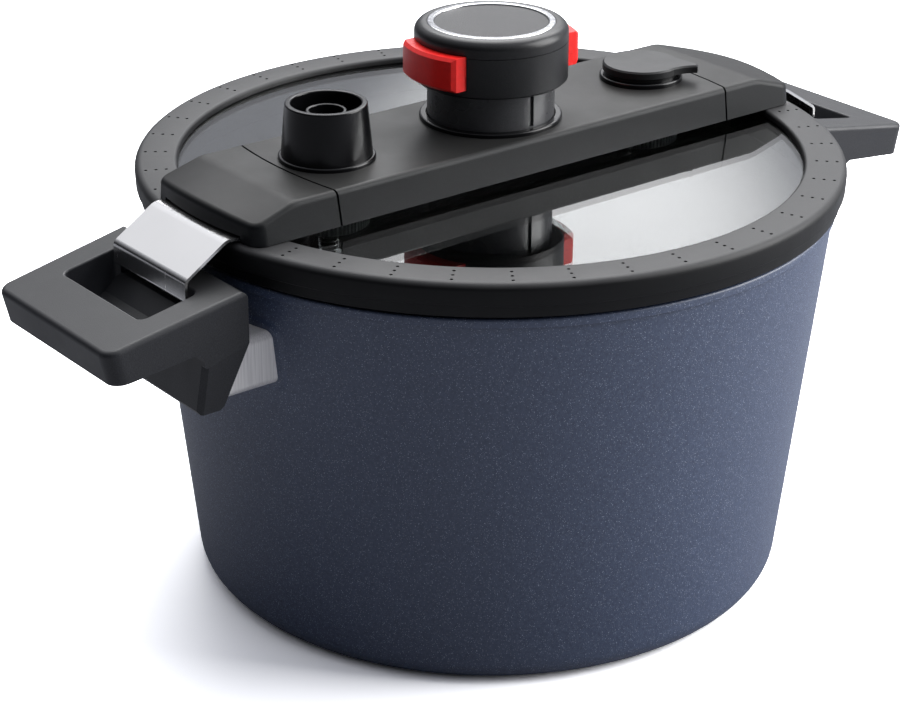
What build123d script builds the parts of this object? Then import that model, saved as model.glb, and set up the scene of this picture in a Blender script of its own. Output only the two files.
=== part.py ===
from build123d import *
import os

# Low-pressure canning pot: coated pot, glass lid with a silicone rim seal, and a locking bridge.
# Millimetres. +Z is up, X runs along the bridge through both handles, and the origin is
# the centre of the pot's underside.
os.makedirs("parts", exist_ok=True)

# Pot
pot_height = 145.4
pot_base_radius = 109.5  # the cone of the wall, carried down to the base plane
pot_taper = 0.1023  # radius gained for each millimetre of height
pot_wall = 4.2
pot_floor = 8.0
rim_band_low = 141.9
rim_band_radius = 125.0
base_disc_radius = 92.0
base_disc_depth = 2.0

# Lid: glass and rim seal
glass_top = 156.2
glass_thickness = 4.0
glass_radius = 115.5
glass_bottom = glass_top - glass_thickness
seal_radius = 128.0
seal_top = 158.7
seal_inner_radius = 112.3
seal_seat = 145.7
skirt_low = 139.5
skirt_radius = 118.6
skirt_inner_radius = 117.2

# Bridge across the lid
bridge_low = 159.0
bridge_top = 171.0
bridge_half_top = 29.0
bridge_half_low = 31.0
bridge_wall = 2.4
edge_round = 2.2
seam_edge_x = 85.9
seam_bulge = 4.68  # how far the seam's arc stands out at its middle, over its full width
seam_half = 40.0
seam_gap = 0.8
cap_slope_x = 105.5
cap_end_x = 125.2  # the end wall stands out in the middle
cap_side_x = 121.4
cap_end_top = 167.3  # the nose is crowned: high in the middle, low at its sides
cap_side_top = 164.6
cap_corner = 5.0
cap_end_wall = 1.9
mouth_height = 2.3
crease_radius = 16.0
seam_overrun = 5.0
bridge_section = (
    (-bridge_half_low, bridge_low),
    (bridge_half_low, bridge_low),
    (bridge_half_top, bridge_top),
    (-bridge_half_top, bridge_top),
)
base_plate_x = 103.0
base_plate_half = 25.5
base_plate_thickness = 1.2
base_plate_top = bridge_low + base_plate_thickness
boss_radius = 3.2

# Knob column, collar and plunger
column_radius = 22.9
column_bore = 19.9
column_top = 189.0
collar_inner = 23.4
collar_radius = 25.7
collar_top = 172.6
key_width = 1.9
key_depth = 1.0
running_gap = 0.4
head_radius = 27.5
head_low = 185.7
head_top = 200.1
cap_low = 200.3
cap_top = 206.3
cap_floor_low = 203.3
recess_floor = 204.8
recess_radius = 23.0
emblem_radius = 20.3
plate_low = 180.0
plate_thickness = 2.0
stem_radius = 5.8
seat_top = 163.0

# Release buttons
button_half_width = 14.7
button_radius = 32.0
button_inner_radius = 26.2
button_low = 188.6
button_top = 200.8
tongue_low = 199.4
spring_axis_z = 201.3

# Clamps and the cam arms that drive them
cam_slope = 0.2  # clamp travel for each millimetre of knob travel
clamp_travel = 2.0
clamp_thickness = 1.0
clamp_half = 22.3
slider_low = 160.6
slider_half = 13.0
slider_end_x = 9.5
lip_x = 144.2
lip_low = 143.0
hook_reach_x = 142.2
arm_foot_x = 13.8
arm_top = 184.5
arm_thickness = 1.6
arm_half = 5.0
foot_thickness = 1.2
rivet_spots = ((18.5, -3.2), (18.5, 3.2))
rivet_radius = 1.1

# Valve stems at x = -valve_x and x = +valve_x
valve_x = 72.0
lever_axis_x = 72.5
stem_thread_radius = 5.0
stem_low = 143.9
nut_radius = 14.6
nut_low = 144.3
nut_top = 150.6
gasket_radius = 9.5

# Pressure regulator cup and its rising indicator
regulator_ring_radius = 16.9
cup_low = 172.5
cup_low_radius = 15.9
cup_top = 190.8
cup_top_radius = 14.2
cup_opening_radius = 12.05
cup_floor = 177.0
piston_top = 188.0
piston_radius = 7.1
piston_bore = 5.8
rod_radius = 2.4
rod_bore = 2.46
rod_low = 131.5

# Steam vent and its lever
vent_ring_radius = 15.6
vent_ring_height = 1.8
vent_hub_radius = 14.0
lever_low = 174.4
lever_top = 177.2
lever_radius = 14.5
lever_tip = 21.3
lever_rest_angle = -50.0
spindle_radius = 2.9

# Side handles
handle_outer_x = 183.0
handle_outer_top = 139.2
handle_outer_low = 127.4
handle_inner_x = 130.7
handle_inner_top = 148.9
handle_half_outer = 36.0
handle_half_inner = 38.0
handle_corner = 5.5
grip_low_x = 180.2
leg_half_low = 35.2
leg_outer_x = 149.4
leg_top_x = 147.4
leg_top_z = 131.6
kink_z = 130.8
foot_inner_x = 139.6
foot_low = 108.4
window_inner_x = 141.4
window_outer_x = 163.2
window_half = 25.0
window_corner = 2.8
window_edge = 0.7
ledge_low = 144.0
groove_x = 137.6
ledge_groove = 6.0
ferrule_half = 33.5
ferrule_low = 110.2
ferrule_top = 129.9
ferrule_wall = 1.5
screw_z = 120.5
screw_seat_x = 143.5
screw_y = 6.5


def pot_outer(z):
    """Outer radius of the pot's wall at height z."""
    return pot_base_radius + pot_taper * z


def save(piece, name):
    """Label a finished piece and write it."""
    piece.part.label = name
    export_step(piece.part, f"parts/{name}.step")


def save_pair(right_piece, base_name):
    """Write a piece for the right side and its mirror image for the left."""
    with BuildPart() as left_piece:
        mirror(right_piece.part, about=Plane.YZ)
    save(left_piece, f"{base_name}_left")
    save(right_piece, f"{base_name}_right")


def ring(outer, inner, low, high):
    """A plain tube about the Z axis."""
    with BuildPart() as tube:
        with BuildSketch(Plane.XY.offset(low)):
            Circle(outer)
            Circle(inner, mode=Mode.SUBTRACT)
        extrude(amount=high - low)
    return tube


# ---------------------------------------------------------------- pot
with BuildPart() as pot_body:
    with BuildSketch(Plane.XZ) as pot_section:
        with BuildLine():
            Polyline(
                (0, 0),
                (pot_base_radius, 0),
                (pot_outer(rim_band_low), rim_band_low),
                (rim_band_radius, rim_band_low + 0.4),
                (rim_band_radius, pot_height),
                (pot_outer(pot_height) - pot_wall, pot_height),
                (pot_outer(pot_floor) - pot_wall, pot_floor),
                (0, pot_floor),
                close=True,
            )
        make_face()
        base_corner = pot_section.vertices().sort_by_distance((pot_base_radius, 0, 0))[0]
        fillet(base_corner, radius=10.0)
        floor_corner = pot_section.vertices().sort_by_distance(
            (pot_outer(pot_floor) - pot_wall, pot_floor, 0)
        )[0]
        fillet(floor_corner, radius=14.0)
    revolve(axis=Axis.Z)
    rim_edges = pot_body.edges().group_by(Axis.Z)[-1]
    fillet(rim_edges, radius=0.8)
    with BuildSketch(Plane.XY):
        Circle(base_disc_radius)
    extrude(amount=base_disc_depth, mode=Mode.SUBTRACT)
save(pot_body, "pot_body")

with BuildPart() as induction_base:
    with BuildSketch(Plane.XY):
        Circle(base_disc_radius - 0.1)
    extrude(amount=base_disc_depth)
    with PolarLocations(base_disc_radius * 0.62, 12):
        Hole(radius=4.0, depth=base_disc_depth)
save(induction_base, "induction_base")

with BuildPart() as pot_envelope:
    with BuildSketch(Plane.XZ):
        Polygon(
            (0, -1),
            (pot_outer(-1), -1),
            (pot_outer(pot_height), pot_height),
            (0, pot_height),
            align=None,
        )
    revolve(axis=Axis.Z)

# ---------------------------------------------------------------- handle ferrules and brackets
handle_side_line = (
    (handle_inner_x, kink_z),
    (foot_inner_x, ferrule_low - 0.6),
)

with BuildPart() as ferrule_limit:
    # everything on the pot's side of the handle's slanting face
    with BuildSketch(Plane.XZ):
        Polygon(
            (60, kink_z),
            handle_side_line[0],
            handle_side_line[1],
            (60, ferrule_low - 0.6),
            align=None,
        )
    extrude(amount=60, both=True)

with BuildPart() as handle_ferrule:
    with BuildSketch(Plane.YZ.offset(100)):
        with Locations((0, (ferrule_low + ferrule_top) / 2)):
            RectangleRounded(2 * ferrule_half, ferrule_top - ferrule_low, 3.0)
            RectangleRounded(
                2 * (ferrule_half - ferrule_wall),
                ferrule_top - ferrule_low - 2 * ferrule_wall,
                1.6,
                mode=Mode.SUBTRACT,
            )
    extrude(amount=45)
    add(ferrule_limit.part, mode=Mode.INTERSECT)
    add(pot_envelope.part, mode=Mode.SUBTRACT)
save_pair(handle_ferrule, "handle_ferrule")

with BuildPart() as handle_bracket:
    with BuildSketch(Plane.YZ.offset(100)):
        with Locations((0, screw_z)):
            RectangleRounded(34, 12, 1.5)
    extrude(amount=45)
    add(ferrule_limit.part, mode=Mode.INTERSECT)
    add(pot_envelope.part, mode=Mode.SUBTRACT)
    with Locations(Plane.YZ.offset(150)):
        with Locations((-screw_y, screw_z), (screw_y, screw_z)):
            Hole(radius=2.6, depth=27)
save_pair(handle_bracket, "handle_bracket")

# ---------------------------------------------------------------- side handles
with BuildPart() as finger_window:
    # the opening through the grip: its inner wall leans out to meet the leg
    with BuildSketch(Plane.XZ):
        Polygon(
            (window_inner_x, handle_inner_top + 5),
            (window_inner_x, ledge_low - ledge_groove),
            (leg_top_x, leg_top_z + 0.6),
            (leg_outer_x + 1.2, leg_top_z - 1),
            (leg_outer_x + 1.2, foot_low),
            (window_outer_x, foot_low),
            (window_outer_x, handle_inner_top + 5),
            align=None,
        )
    extrude(amount=window_half, both=True)
    with BuildSketch(Plane.XY.offset(foot_low)):
        with Locations(((window_inner_x + window_outer_x) / 2, 0)):
            RectangleRounded(window_outer_x - window_inner_x, 2 * window_half, window_corner)
    extrude(amount=60, mode=Mode.INTERSECT)

with BuildPart() as side_handle:
    # grip frame above, leg against the pot below
    with BuildSketch(Plane.XZ) as handle_section:
        Polygon(
            (handle_outer_x, handle_outer_top),
            (handle_inner_x, handle_inner_top),
            (handle_inner_x, kink_z),
            (foot_inner_x, foot_low + 1.2),
            (foot_inner_x + 1.6, foot_low),
            (leg_outer_x - 1.0, foot_low),
            (leg_outer_x, foot_low + 1.4),
            (leg_top_x, leg_top_z),
            (grip_low_x, handle_outer_low),
            align=None,
        )
        inside_corner = handle_section.vertices().sort_by_distance((leg_top_x, leg_top_z, 0))[0]
        fillet(inside_corner, radius=3.0)
    extrude(amount=50, both=True)
    with BuildSketch(Plane.XY):
        Polygon(
            (handle_inner_x - 0.5, -handle_half_inner),
            (handle_outer_x, -handle_half_outer),
            (handle_outer_x, handle_half_outer),
            (handle_inner_x - 0.5, handle_half_inner),
            align=None,
        )
    extrude(amount=200, mode=Mode.INTERSECT)
    grip_corners = side_handle.edges().filter_by(
        lambda e: e.center().X > grip_low_x and abs(e.center().Y) > handle_half_outer - 1
        and e.center().Z < handle_outer_top - 3
        and e.center().Z > handle_outer_low + 2
    )
    fillet(grip_corners, radius=handle_corner)
    # the leg narrows towards its foot
    with BuildSketch(Plane.YZ.offset(handle_inner_x - 5)):
        Polygon(
            (-leg_half_low, foot_low - 1),
            (leg_half_low, foot_low - 1),
            (handle_half_inner, kink_z),
            (handle_half_inner, handle_inner_top + 1),
            (-handle_half_inner, handle_inner_top + 1),
            (-handle_half_inner, kink_z),
            align=None,
        )
    extrude(amount=60, mode=Mode.INTERSECT)
    leg_corners = side_handle.edges().filter_by(
        lambda e: abs(e.center().Y) > leg_half_low - 1
        and e.center().Z < leg_top_z - 3
        and e.center().X > leg_outer_x - 3
        and e.length > 15
    )
    chamfer(leg_corners, length=1.8)
    upper = side_handle.faces().filter_by(lambda f: f.normal_at().Z > 0.9).sort_by(Axis.Z)[-1]
    fillet(upper.edges(), radius=1.9)
    add(finger_window.part, mode=Mode.SUBTRACT)
    pierced = side_handle.faces().filter_by(lambda f: f.normal_at().Z > 0.9).sort_by(Axis.Z)[-1]
    fillet(pierced.inner_wires()[0].edges(), radius=window_edge)
    # groove under the ledge that the clamp's hook goes into
    with BuildSketch(Plane.XY.offset(ledge_low - ledge_groove)):
        with Locations(((window_inner_x + 1 + groove_x) / 2, 0)):
            Rectangle(window_inner_x + 1 - groove_x, 2 * clamp_half + 2.4)
    extrude(amount=ledge_groove, mode=Mode.SUBTRACT)
    # screw holes with counterbores, driven from the leg's outer face
    with Locations(Plane.YZ.offset(leg_outer_x + 0.6)):
        with Locations((-screw_y, screw_z), (screw_y, screw_z)):
            CounterBoreHole(
                radius=2.7,
                counter_bore_radius=4.8,
                counter_bore_depth=leg_outer_x + 0.6 - screw_seat_x,
                depth=24,
            )
save_pair(side_handle, "side_handle")

with BuildPart() as handle_washer_pair:
    with BuildSketch(Plane.YZ.offset(screw_seat_x)):
        with Locations((-screw_y, screw_z), (screw_y, screw_z)):
            Circle(4.6)
            Circle(2.7, mode=Mode.SUBTRACT)
    extrude(amount=0.7)
with BuildPart() as handle_washers:
    add(handle_washer_pair.part)
    mirror(handle_washer_pair.part, about=Plane.YZ)
save(handle_washers, "handle_washers")

with BuildPart() as handle_screw_pair:
    with BuildSketch(Plane.YZ.offset(124.5)):
        with Locations((-screw_y, screw_z), (screw_y, screw_z)):
            Circle(2.5)
    extrude(amount=screw_seat_x + 0.7 - 124.5)
    with BuildSketch(Plane.YZ.offset(screw_seat_x + 0.7)):
        with Locations((-screw_y, screw_z), (screw_y, screw_z)):
            Circle(4.2)
    extrude(amount=2.4)
    with BuildSketch(Plane.YZ.offset(screw_seat_x + 3.1)):
        with Locations((-screw_y, screw_z), (screw_y, screw_z)):
            RegularPolygon(radius=2.3, side_count=6)
    extrude(amount=-1.6, mode=Mode.SUBTRACT)
with BuildPart() as handle_screws:
    add(handle_screw_pair.part)
    mirror(handle_screw_pair.part, about=Plane.YZ)
save(handle_screws, "handle_screws")

# ---------------------------------------------------------------- lid glass and rim seal
with BuildPart() as lid_glass:
    with BuildSketch(Plane.XY.offset(glass_bottom)):
        Circle(glass_radius)
        with Locations((-valve_x, 0), (lever_axis_x, 0)):
            Circle(stem_thread_radius + 0.4, mode=Mode.SUBTRACT)
    extrude(amount=glass_thickness)
save(lid_glass, "lid_glass")

with BuildPart() as rim_seal:
    with BuildSketch(Plane.XZ) as seal_section:
        with BuildLine():
            Polyline(
                (seal_inner_radius, glass_top),
                (seal_inner_radius, seal_top),
                (seal_radius, seal_top),
                (127.7, 151.0),
                (126.6, 150.6),
                (126.3, 146.6),
                (123.6, 146.6),
                (123.2, seal_seat),
                (skirt_radius, seal_seat),
                (skirt_radius, skirt_low),
                (skirt_inner_radius, skirt_low),
                (skirt_inner_radius, 148.0),
                (seal_inner_radius, 150.6),
                (seal_inner_radius, glass_bottom),
                (glass_radius, glass_bottom),
                (glass_radius, glass_top),
                close=True,
            )
        make_face()
        outer_corner = seal_section.vertices().sort_by_distance((seal_radius, seal_top, 0))[0]
        fillet(outer_corner, radius=2.6)
        inner_corner = seal_section.vertices().sort_by_distance((seal_inner_radius, seal_top, 0))[0]
        fillet(inner_corner, radius=0.8)
    revolve(axis=Axis.Z)
save(rim_seal, "rim_seal")

# ---------------------------------------------------------------- bridge
with BuildPart() as bridge_block:
    # the full bridge before it is parted at the seams
    with BuildSketch(Plane.YZ.offset(-130)) as across:
        Polygon(*bridge_section, align=None)
        fillet(across.vertices().group_by(Axis.Y)[-1], radius=edge_round)
    extrude(amount=260)

with BuildPart() as bridge_hollow:
    with BuildSketch(Plane.YZ.offset(-130)) as hollow_section:
        Polygon(
            (-bridge_half_low + bridge_wall, bridge_low - 1),
            (bridge_half_low - bridge_wall, bridge_low - 1),
            (bridge_half_top - bridge_wall, bridge_top - bridge_wall),
            (-bridge_half_top + bridge_wall, bridge_top - bridge_wall),
            align=None,
        )
        fillet(hollow_section.vertices().group_by(Axis.Y)[-1], radius=1.2)
    extrude(amount=260)

bridge_boss_spots = [(x, y) for x in (-47, 47) for y in (-20, 20)]
cap_boss_spots = [(x, y) for x in (-97, 97) for y in (-20, 20)]

with BuildPart() as bridge_cover:
    with BuildSketch(Plane.XY.offset(bridge_low)):
        with BuildLine():
            right_end = ThreePointArc(
                (seam_edge_x, -seam_half), (seam_edge_x + seam_bulge, 0), (seam_edge_x, seam_half)
            )
            left_end = ThreePointArc(
                (-seam_edge_x, seam_half), (-seam_edge_x - seam_bulge, 0), (-seam_edge_x, -seam_half)
            )
            Line(right_end @ 1, left_end @ 0)
            Line(left_end @ 1, right_end @ 0)
        make_face()
    extrude(amount=20)
    add(bridge_block.part, mode=Mode.INTERSECT)
    add(bridge_hollow.part, mode=Mode.SUBTRACT)
    with BuildSketch(Plane.XY.offset(base_plate_top)):
        with Locations(*bridge_boss_spots):
            Circle(boss_radius)
    extrude(until=Until.NEXT)
    with BuildSketch(Plane.XY.offset(bridge_top)):
        Circle(column_radius + 0.3)
        with Locations((-valve_x, 0), (lever_axis_x, 0)):
            Circle(stem_thread_radius + 0.3)
    extrude(amount=-bridge_wall, mode=Mode.SUBTRACT)
    with BuildSketch(Plane.XY.offset(base_plate_top)):
        with Locations(*bridge_boss_spots):
            Circle(1.6)
    extrude(amount=7, mode=Mode.SUBTRACT)
save(bridge_cover, "bridge_cover")

with BuildPart() as cap_hollow:
    # the space under the right end cap, with the cap's own wall left round it
    with BuildSketch(Plane.XZ):
        Polygon(
            (seam_edge_x - seam_overrun, bridge_low - 1),
            (cap_side_x - cap_end_wall, bridge_low - 1),
            (cap_side_x - cap_end_wall, cap_side_top),
            (cap_slope_x, bridge_top - bridge_wall),
            (seam_edge_x - seam_overrun, bridge_top - bridge_wall),
            align=None,
        )
    extrude(amount=bridge_half_top - bridge_wall - 0.4, both=True)

with BuildPart() as above_nose:
    # everything over the nose: level at the crease, crowned at the end
    with BuildSketch(Plane.YZ.offset(cap_slope_x)):
        Polygon(
            (-seam_half, bridge_top),
            (seam_half, bridge_top),
            (seam_half, bridge_top + 9),
            (-seam_half, bridge_top + 9),
            align=None,
        )
    crown_drop = (cap_end_top - cap_side_top) * (seam_half / bridge_half_top) ** 2
    with BuildSketch(Plane.YZ.offset(cap_end_x + 1)):
        with BuildLine():
            crown = ThreePointArc(
                (-seam_half, cap_end_top - crown_drop),
                (0, cap_end_top),
                (seam_half, cap_end_top - crown_drop),
            )
            Polyline(crown @ 1, (seam_half, bridge_top + 9), (-seam_half, bridge_top + 9), crown @ 0)
        make_face()
    loft(ruled=True)

with BuildPart() as end_cap:
    with BuildSketch(Plane.YZ.offset(seam_edge_x - seam_overrun)):
        Polygon(*bridge_section, align=None)
    extrude(amount=cap_end_x - seam_edge_x + 2 * seam_overrun)
    with BuildSketch(Plane.XY.offset(bridge_low - 1)):
        with BuildLine():
            end_arc = ThreePointArc(
                (cap_side_x, -bridge_half_low), (cap_end_x, 0), (cap_side_x, bridge_half_low)
            )
            Polyline(end_arc @ 1, (50, bridge_half_low), (50, -bridge_half_low), end_arc @ 0)
        make_face()
    extrude(amount=20, mode=Mode.INTERSECT)
    upright = end_cap.edges().filter_by(
        lambda e: e.center().X > cap_slope_x and abs(e.center().Y) > bridge_half_top
        and abs(e.tangent_at(0.5).Z) > 0.9
    )
    fillet(upright, radius=cap_corner)
    add(above_nose.part, mode=Mode.SUBTRACT)
    crease = end_cap.edges().filter_by(
        lambda e: abs(e.center().X - cap_slope_x) < 0.1 and e.length > bridge_half_top
    )
    fillet(crease.group_by(Axis.Z)[-1], radius=crease_radius)
    cap_rim = end_cap.edges().filter_by(
        lambda e: e.center().Z > cap_side_top - 1
        and (abs(e.center().Y) > bridge_half_top - 2 or e.center().X > cap_side_x)
    )
    fillet(cap_rim.filter_by(lambda e: e.center().X > seam_edge_x), radius=edge_round)
    # seam towards the middle cover
    with BuildSketch(Plane.XY.offset(bridge_low - 1)):
        with BuildLine():
            cap_seam = ThreePointArc(
                (seam_edge_x + seam_gap, -seam_half),
                (seam_edge_x + seam_gap + seam_bulge, 0),
                (seam_edge_x + seam_gap, seam_half),
            )
            Polyline(cap_seam @ 1, (50, seam_half), (50, -seam_half), cap_seam @ 0)
        make_face()
    extrude(amount=20, mode=Mode.SUBTRACT)
    add(cap_hollow.part, mode=Mode.SUBTRACT)
    with BuildSketch(Plane.XY.offset(base_plate_top)):
        with Locations((97, -20), (97, 20)):
            Circle(boss_radius)
    extrude(until=Until.NEXT)
    with BuildSketch(Plane.XY.offset(base_plate_top)):
        with Locations((97, -20), (97, 20)):
            Circle(1.6)
    extrude(amount=7, mode=Mode.SUBTRACT)
    # mouth in the end wall for the clamp
    with BuildSketch(Plane.YZ.offset(cap_side_x - 3)):
        with Locations((0, bridge_low)):
            Rectangle(2 * clamp_half + 1.2, 2 * mouth_height)
    extrude(amount=10, mode=Mode.SUBTRACT)
save_pair(end_cap, "end_cap")

with BuildPart() as bridge_base:
    with BuildSketch(Plane.XY.offset(bridge_low)):
        RectangleRounded(2 * base_plate_x, 2 * base_plate_half, 4.0)
        with Locations((-valve_x, 0), (lever_axis_x, 0)):
            Circle(stem_thread_radius + 0.3, mode=Mode.SUBTRACT)
        with Locations(*bridge_boss_spots, *cap_boss_spots):
            Circle(1.8, mode=Mode.SUBTRACT)
        with PolarLocations(21.4, 4, start_angle=45):
            Circle(1.2, mode=Mode.SUBTRACT)
    extrude(amount=base_plate_thickness)
save(bridge_base, "bridge_base")

for screw_name, spots in (("bridge_screws", bridge_boss_spots), ("end_cap_screws", cap_boss_spots)):
    with BuildPart() as cover_screws:
        with BuildSketch(Plane.XY.offset(bridge_low - 1.6)):
            with Locations(*spots):
                Circle(2.8)
        extrude(amount=1.6)
        with BuildSketch(Plane.XY.offset(bridge_low)):
            with Locations(*spots):
                Circle(1.5)
        extrude(amount=7)
        with BuildSketch(Plane.XY.offset(bridge_low - 1.6)):
            with Locations(*spots):
                RegularPolygon(radius=1.3, side_count=6)
        extrude(amount=1.0, mode=Mode.SUBTRACT)
    save(cover_screws, screw_name)

# ---------------------------------------------------------------- knob column and its collar
with BuildPart() as knob_column:
    with BuildSketch(Plane.XY.offset(base_plate_top)):
        Circle(column_radius)
        Circle(column_bore, mode=Mode.SUBTRACT)
    extrude(amount=column_top - base_plate_top)
    chamfer(knob_column.edges().group_by(Axis.Z)[-1], length=0.6)
    # passages for the clamps' sliders and cam feet
    with BuildSketch(Plane.XY.offset(base_plate_top)):
        Rectangle(2 * column_radius + 4, 2 * 9.0)
    extrude(amount=5.6, mode=Mode.SUBTRACT)
    # key grooves for the head's ribs
    with BuildSketch(Plane.XY.offset(collar_top + 0.4)):
        with Locations((0, column_radius), (0, -column_radius)):
            Rectangle(key_width, 2 * key_depth)
    extrude(amount=column_top, mode=Mode.SUBTRACT)
    with BuildSketch(Plane.XY.offset(base_plate_top)):
        with PolarLocations(21.4, 4, start_angle=45):
            Circle(1.0)
    extrude(amount=5, mode=Mode.SUBTRACT)
save(knob_column, "knob_column")

with BuildPart() as column_screws:
    with BuildSketch(Plane.XY.offset(bridge_low - 1.4)):
        with PolarLocations(21.4, 4, start_angle=45):
            Circle(2.2)
    extrude(amount=1.4)
    with BuildSketch(Plane.XY.offset(bridge_low)):
        with PolarLocations(21.4, 4, start_angle=45):
            Circle(0.95)
    extrude(amount=5.6)
save(column_screws, "column_screws")

with BuildPart() as column_collar:
    with BuildSketch(Plane.XY.offset(bridge_top)):
        Circle(collar_radius)
        Circle(collar_inner, mode=Mode.SUBTRACT)
    extrude(amount=collar_top - bridge_top)
    fillet(column_collar.edges().group_by(Axis.Z)[-1].sort_by(SortBy.LENGTH)[-1], radius=0.7)
save(column_collar, "column_collar")

with BuildPart() as return_spring_seat:
    with BuildSketch(Plane.XY.offset(base_plate_top)):
        Circle(6.8)
    extrude(amount=seat_top - base_plate_top)
    with BuildSketch(Plane.XY.offset(seat_top)):
        Circle(5.0)
    extrude(amount=3)
save(return_spring_seat, "return_spring_seat")


def coil(base_point, axis_direction, mean_radius, wire_radius, length, turns):
    """A compression spring standing on base_point along axis_direction."""
    pitch = (length - 2 * wire_radius) / turns
    start = Vector(*base_point) + Vector(*axis_direction) * wire_radius
    with BuildPart() as spring:
        with BuildLine():
            turn_line = Helix(
                pitch=pitch,
                height=pitch * turns,
                radius=mean_radius,
                center=start,
                direction=axis_direction,
            )
        with BuildSketch(Plane(origin=turn_line @ 0, z_dir=turn_line % 0)):
            Circle(wire_radius)
        sweep(is_frenet=True)
    return spring


knob_return_spring = coil(
    (0, 0, seat_top), (0, 0, 1), 6.0, 0.5, plate_low - seat_top - 0.2, 6
)
save(knob_return_spring, "knob_return_spring")

# ---------------------------------------------------------------- knob head
with BuildPart() as knob_head:
    with BuildSketch(Plane.XY.offset(head_low)):
        Circle(head_radius)
        Circle(column_radius + running_gap, mode=Mode.SUBTRACT)
    extrude(amount=head_top - head_low)
    lower_outer = knob_head.edges().group_by(Axis.Z)[0].sort_by(SortBy.LENGTH)[-1]
    chamfer(lower_outer, length=0.7)
    # ribs that ride in the column's key grooves
    with BuildSketch(Plane.XY.offset(head_low)):
        with Locations((0, column_radius + 0.4), (0, -column_radius - 0.4)):
            Rectangle(key_width - 0.5, 2.0)
    extrude(amount=column_top + 9 - head_low)
    # lugs that take the cap's screws
    with BuildSketch(Plane.XY.offset(head_top - 0.5)):
        with Locations((0, 19.4), (0, -19.4)):
            Rectangle(7.0, 11.0)
    extrude(amount=cap_floor_low - head_top + 0.5 - 0.05)
    with BuildSketch(Plane.XY.offset(cap_floor_low - 2.6)):
        with Locations((0, 17), (0, -17)):
            Circle(1.2)
    extrude(amount=3, mode=Mode.SUBTRACT)
    # button windows
    with BuildSketch(Plane.XY.offset(button_low - 0.3)):
        Rectangle(2 * head_radius + 4, 2 * (button_half_width + 0.3))
    extrude(amount=head_top - button_low + 0.3, mode=Mode.SUBTRACT)
save(knob_head, "knob_head")

with BuildPart() as knob_cap:
    with BuildSketch(Plane.XZ) as cap_section:
        with BuildLine():
            Polyline(
                (0, cap_floor_low),
                (25.3, cap_floor_low),
                (25.3, cap_low),
                (head_radius, cap_low),
                (head_radius, cap_top),
                (recess_radius, cap_top),
                (recess_radius, recess_floor),
                (0, recess_floor),
                close=True,
            )
        make_face()
        shoulder = cap_section.vertices().sort_by_distance((head_radius, cap_top, 0))[0]
        fillet(shoulder, radius=3.4)
    revolve(axis=Axis.Z)
    # notches above the buttons
    with BuildSketch(Plane.XY.offset(cap_low)):
        Rectangle(2 * head_radius + 4, 2 * (button_half_width + 0.3))
        Circle(24.0, mode=Mode.SUBTRACT)
    extrude(amount=button_top + 0.3 - cap_low, mode=Mode.SUBTRACT)
    with BuildSketch(Plane.XY.offset(recess_floor)):
        with Locations((0, 0), (0, 17), (0, -17)):
            Circle(1.5)
    extrude(amount=-2, mode=Mode.SUBTRACT)
    with BuildSketch(Plane.XY.offset(recess_floor)):
        with Locations((0, 0), (0, 17), (0, -17)):
            Circle(2.9)
    extrude(amount=-0.9, mode=Mode.SUBTRACT)
save(knob_cap, "knob_cap")

trim_ring = ring(recess_radius - 0.05, emblem_radius, recess_floor, cap_top + 0.2)
with BuildPart() as trim_ring_rounded:
    add(trim_ring.part)
    fillet(trim_ring_rounded.edges().group_by(Axis.Z)[-1], radius=0.5)
save(trim_ring_rounded, "trim_ring")

with BuildPart() as emblem_disc:
    with BuildSketch(Plane.XY.offset(recess_floor)):
        Circle(emblem_radius - 0.1)
    extrude(amount=1.1)
save(emblem_disc, "emblem_disc")

plunger_top = cap_floor_low - 0.05
window_mid_x = arm_foot_x - cam_slope * (plate_low + plate_thickness / 2 - seat_top)
with BuildPart() as knob_plunger:
    with BuildSketch(Plane.XY.offset(plate_low)):
        Circle(column_bore - 0.5)
        with Locations((window_mid_x, 0), (-window_mid_x, 0)):
            Rectangle(2.9, 2 * arm_half + 0.8, mode=Mode.SUBTRACT)
    extrude(amount=plate_thickness)
    with BuildSketch(Plane.XY.offset(plate_low + plate_thickness)):
        Circle(stem_radius)
    extrude(amount=plunger_top - plate_low - plate_thickness)
    with BuildSketch(Plane.XY.offset(tongue_low + 0.2)):
        Circle(7.8)
    extrude(amount=plunger_top - tongue_low - 0.2)
    with BuildSketch(Plane.XY.offset(plunger_top)):
        Circle(1.3)
    extrude(amount=-9, mode=Mode.SUBTRACT)
save(knob_plunger, "knob_plunger")

with BuildPart() as knob_screws:
    with BuildSketch(Plane.XY.offset(recess_floor - 0.85)):
        with Locations((0, 0), (0, 17), (0, -17)):
            Circle(2.7)
    extrude(amount=0.8)
    with BuildSketch(Plane.XY.offset(recess_floor - 0.85)):
        with Locations((0, 0), (0, 17), (0, -17)):
            Circle(1.1)
    extrude(amount=-2.8)
save(knob_screws, "knob_screws")

# ---------------------------------------------------------------- release buttons
with BuildPart() as release_button:
    with BuildSketch(Plane.XY.offset(button_low)) as button_plan:
        Circle(button_radius)
        Circle(button_inner_radius, mode=Mode.SUBTRACT)
        with Locations((30, 0)):
            Rectangle(40, 2 * button_half_width, mode=Mode.INTERSECT)
        with Locations((-30, 0)):
            Rectangle(60, 60, mode=Mode.SUBTRACT)
    extrude(amount=button_top - button_low)
    outer_face = release_button.faces().filter_by(GeomType.CYLINDER).sort_by(Axis.X)[-1]
    chamfer(outer_face.edges(), length=1.1)
    # the part behind the head's wall stays under the cap
    with BuildSketch(Plane.XY.offset(tongue_low)):
        with Locations((20.5, 0)):
            Rectangle(13.0, 8.0)
    extrude(amount=button_top - 0.1 - tongue_low)
    with BuildSketch(Plane.XY.offset(tongue_low)):
        with Locations((15.5, 0)):
            Rectangle(3.6, 7.0)
    extrude(amount=3.5)
save_pair(release_button, "release_button")

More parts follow.
